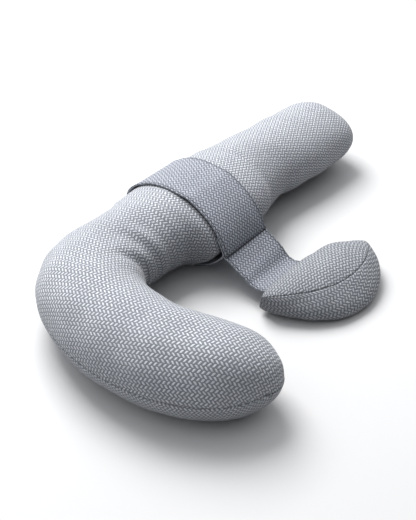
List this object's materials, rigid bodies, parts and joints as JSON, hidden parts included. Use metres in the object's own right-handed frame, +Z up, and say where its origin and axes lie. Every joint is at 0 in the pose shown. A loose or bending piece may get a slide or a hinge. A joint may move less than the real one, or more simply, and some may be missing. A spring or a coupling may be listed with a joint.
{
  "type": "nursing pillow",
  "caption": "Hook-shaped tube cushion for feeding a baby, with a wrap-round strap that carries a small half-moon headrest.",
  "frame": {"origin": "centre of the footprint, on the surface that the pillow lies on", "axes": "+Y along the straight long arm towards its tip, +X towards the side where the hook opens and the headrest lies, +Z up"},
  "size_m": [0.5235, 0.8466, 0.158],
  "materials": {
    "cover": "herringbone knit, matt",
    "liner": "plain woven cotton",
    "filling": "loose polyester fibre",
    "band_fabric": "dense herringbone knit, matt",
    "band_lining": "dense knit, matt",
    "hook_tape": "moulded hooks",
    "loop_tape": "brushed loops",
    "zip_tape": "plain woven tape",
    "zip_teeth": "moulded",
    "zip_metal": "satin"
  },
  "bodies": {
    "pillow": {"main_top_panel": "cover", "main_bottom_panel": "cover", "main_liner": "liner", "main_filling": "filling", "zip_tape_upper": "zip_tape", "zip_tape_lower": "zip_tape", "zip_teeth_upper": "zip_teeth", "zip_teeth_lower": "zip_teeth", "zip_stops": "zip_metal"},
    "zip_slider_body": {"zip_slider": "zip_metal"},
    "zip_pull_body": {"zip_pull": "zip_metal"},
    "band": {"band_outer": "band_fabric", "band_lining": "band_lining", "loop_tape": "loop_tape"},
    "flap": {"flap_outer": "band_fabric", "flap_lining": "band_lining", "hook_tape": "hook_tape"},
    "strap": {"strap_outer": "band_fabric", "strap_lining": "band_lining"},
    "headrest": {"head_top_panel": "cover", "head_bottom_panel": "cover", "head_liner": "liner", "head_filling": "filling"}
  },
  "joints": [
    {"name": "band_slide", "type": "slide", "parent": "pillow", "child": "band", "axis": [0, 1, 0], "range_m": [-0.04, 0.04]},
    {"name": "flap_peel", "type": "hinge", "parent": "band", "child": "flap", "pos_m": [-0.09814, -0.01419, 0.152], "axis": [0, -1, 0], "range_deg": [0, 90]},
    {"name": "strap_lift", "type": "hinge", "parent": "band", "child": "strap", "pos_m": [-0.00214, -0.01419, 0.061], "axis": [0, -1, 0], "range_deg": [0, 60]},
    {"name": "headrest_fold", "type": "hinge", "parent": "strap", "child": "headrest", "pos_m": [0.07786, -0.01419, 0.035], "axis": [0, -1, 0], "range_deg": [-25, 30]},
    {"name": "zip_run", "type": "slide", "parent": "pillow", "child": "zip_slider_body", "axis": [-0.0864, -0.9963, 0], "range_m": [0, 0.19]},
    {"name": "zip_pull_turn", "type": "hinge", "parent": "zip_slider_body", "child": "zip_pull_body", "pos_m": [-0.23286, 0.31471, 0.074], "axis": [0, 0, -1], "range_deg": [0, 170]}
  ]
}
